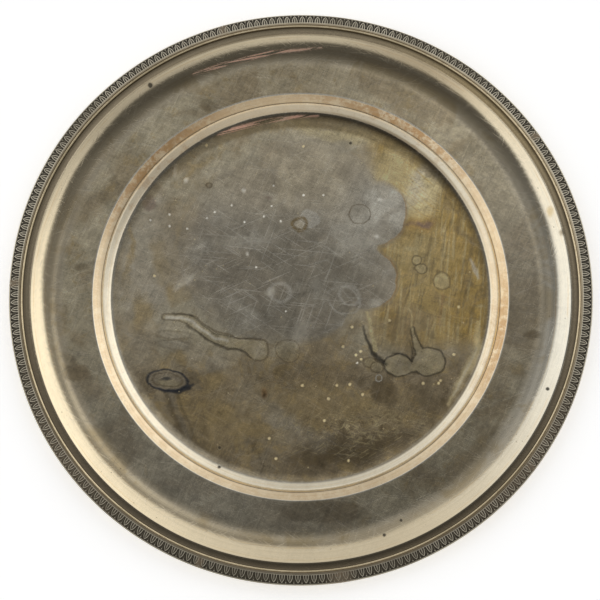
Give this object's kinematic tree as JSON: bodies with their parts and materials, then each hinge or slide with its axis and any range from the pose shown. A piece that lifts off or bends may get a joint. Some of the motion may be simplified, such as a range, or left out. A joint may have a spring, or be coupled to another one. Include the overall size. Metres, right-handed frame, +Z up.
{
  "type": "round salver",
  "caption": "Shallow round metal serving dish with a flat well, a stepped bouge, a flat rim curving up to a sharp edge, and an applied leaf-and-dart border.",
  "frame": {"origin": "middle of the flat underside that rests on the table", "axes": "+Z up along the dish's axis; +Y towards the far side as pictured, +X to its right"},
  "size_m": [0.32, 0.32, 0.0118],
  "materials": {
    "dish_silver": "silver plate, bright underneath, tarnished grey and olive with water stains, satin",
    "border_silver": "silver plate, rubbed bright on the leaves and blackened in the ground",
    "reed_silver": "silver plate, rubbed bright, slightly yellow"
  },
  "bodies": {
    "root": {"dish": "dish_silver", "border_strip_1": "border_silver", "border_strip_2": "border_silver", "border_strip_3": "border_silver", "border_strip_4": "border_silver", "border_strip_5": "border_silver", "reed_wire": "reed_silver"}
  },
  "joints": []
}
